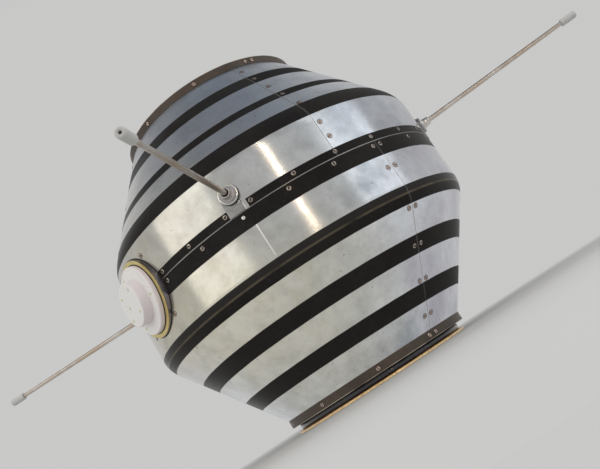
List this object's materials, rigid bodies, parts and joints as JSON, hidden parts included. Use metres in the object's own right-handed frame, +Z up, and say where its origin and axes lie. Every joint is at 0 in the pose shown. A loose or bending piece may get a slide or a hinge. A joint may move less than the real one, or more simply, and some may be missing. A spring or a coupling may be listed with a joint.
{
  "type": "satellite",
  "caption": "Small barrel-shaped satellite with a black-banded polished metal shell, rod antennas, a white disc port and a recessed base with connectors.",
  "frame": {"origin": "middle of the underside of the base ring that the satellite stands on", "axes": "+Z up along the body axis, -Y towards the white port"},
  "size_m": [0.821, 0.821, 0.5298],
  "materials": {
    "polished_shell": "brushed, banded with matt black coating",
    "dark_rim": "satin",
    "gold_ring": "worn, rough-edged",
    "neck": "glossy",
    "bronze_plate": "satin",
    "connector_gold": "plated",
    "connector_body": "satin",
    "stub_black": "matt",
    "rod_steel": "polished",
    "tip_grey": "matt",
    "socket_metal": "satin",
    "port_metal": "polished",
    "port_gold": "satin",
    "port_white": "soft gloss"
  },
  "bodies": {
    "root": {"antenna_bracket_1": "socket_metal", "antenna_bracket_2": "socket_metal", "antenna_bracket_3": "socket_metal", "antenna_bracket_4": "socket_metal", "antenna_cup_1": "socket_metal", "antenna_cup_2": "socket_metal", "antenna_cup_3": "socket_metal", "antenna_cup_4": "socket_metal", "antenna_rod_1": "rod_steel", "antenna_rod_2": "rod_steel", "antenna_rod_3": "rod_steel", "antenna_rod_4": "rod_steel", "antenna_socket_1": "socket_metal", "antenna_socket_2": "socket_metal", "antenna_socket_3": "socket_metal", "antenna_socket_4": "socket_metal", "antenna_tip_1": "tip_grey", "antenna_tip_2": "tip_grey", "antenna_tip_3": "tip_grey", "antenna_tip_4": "tip_grey", "base_plug": "connector_gold", "cable_stub": "stub_black", "connector_barrel_1": "connector_body", "connector_barrel_2": "connector_body", "connector_flange_1": "connector_gold", "connector_flange_2": "connector_gold", "end_plate": "bronze_plate", "hole_cup": "neck", "joint_ring": "socket_metal", "lower_panel_1": "polished_shell", "lower_panel_2": "polished_shell", "lower_rim_band": "dark_rim", "neck_ring": "neck", "port_disc_large": "port_white", "port_disc_small": "port_white", "port_ring": "port_metal", "port_washer": "port_gold", "separation_ring": "gold_ring", "top_cap": "polished_shell", "upper_panel_1": "polished_shell", "upper_panel_2": "polished_shell", "upper_panel_3": "polished_shell", "upper_panel_4": "polished_shell", "upper_rim_band": "dark_rim"}
  },
  "joints": []
}
